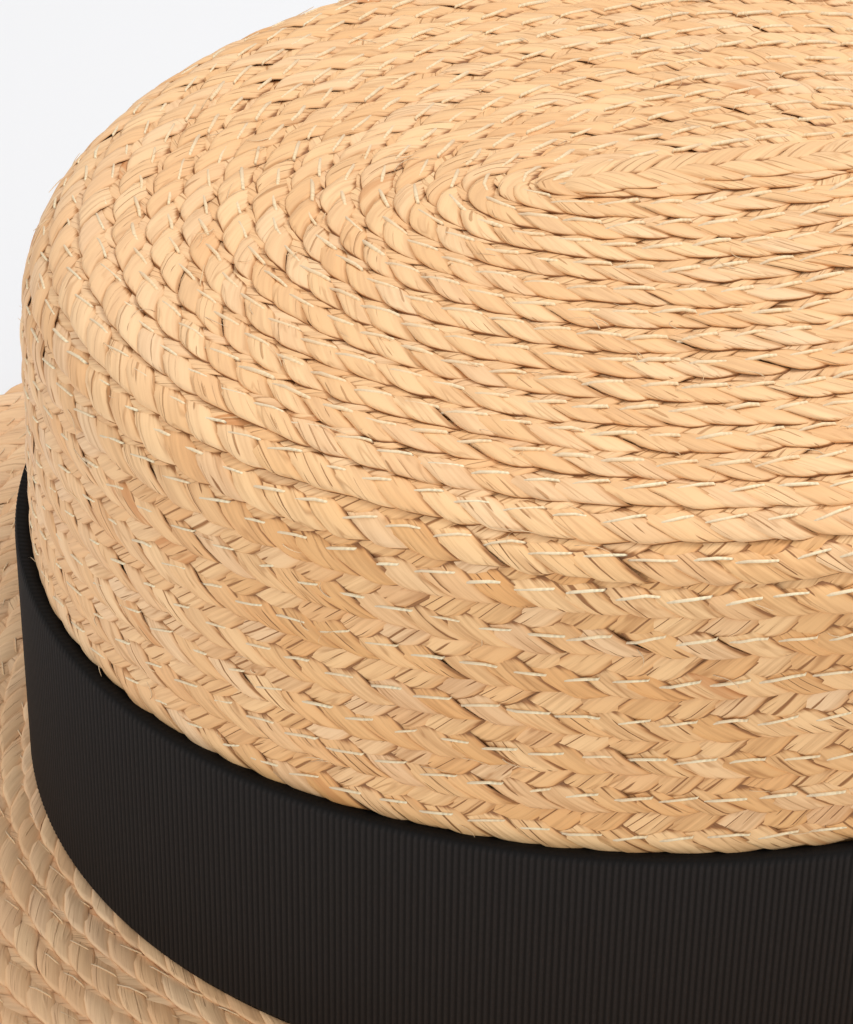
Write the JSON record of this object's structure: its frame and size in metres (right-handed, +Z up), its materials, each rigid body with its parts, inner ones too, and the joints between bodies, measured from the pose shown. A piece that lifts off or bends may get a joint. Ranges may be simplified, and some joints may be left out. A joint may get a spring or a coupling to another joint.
{
  "type": "raffia panama hat",
  "caption": "Sewn raffia hat with an oval, flat-topped crown, a flat brim and a black ribbed ribbon band.",
  "frame": {"origin": "centre of the hat on the surface that the brim rests on", "axes": "+Z up through the crown, +X along the long axis of the head, +Y across the head"},
  "size_m": [0.305, 0.2638, 0.1021],
  "materials": {
    "crown_straw": "matt natural raffia braid, sewn in rows",
    "brim_straw": "matt natural raffia braid, sewn in rows",
    "ribbon": "matt black grosgrain with fine upright ribs"
  },
  "bodies": {
    "root": {"crown": "crown_straw", "brim": "brim_straw", "hat_band": "ribbon"}
  },
  "joints": []
}
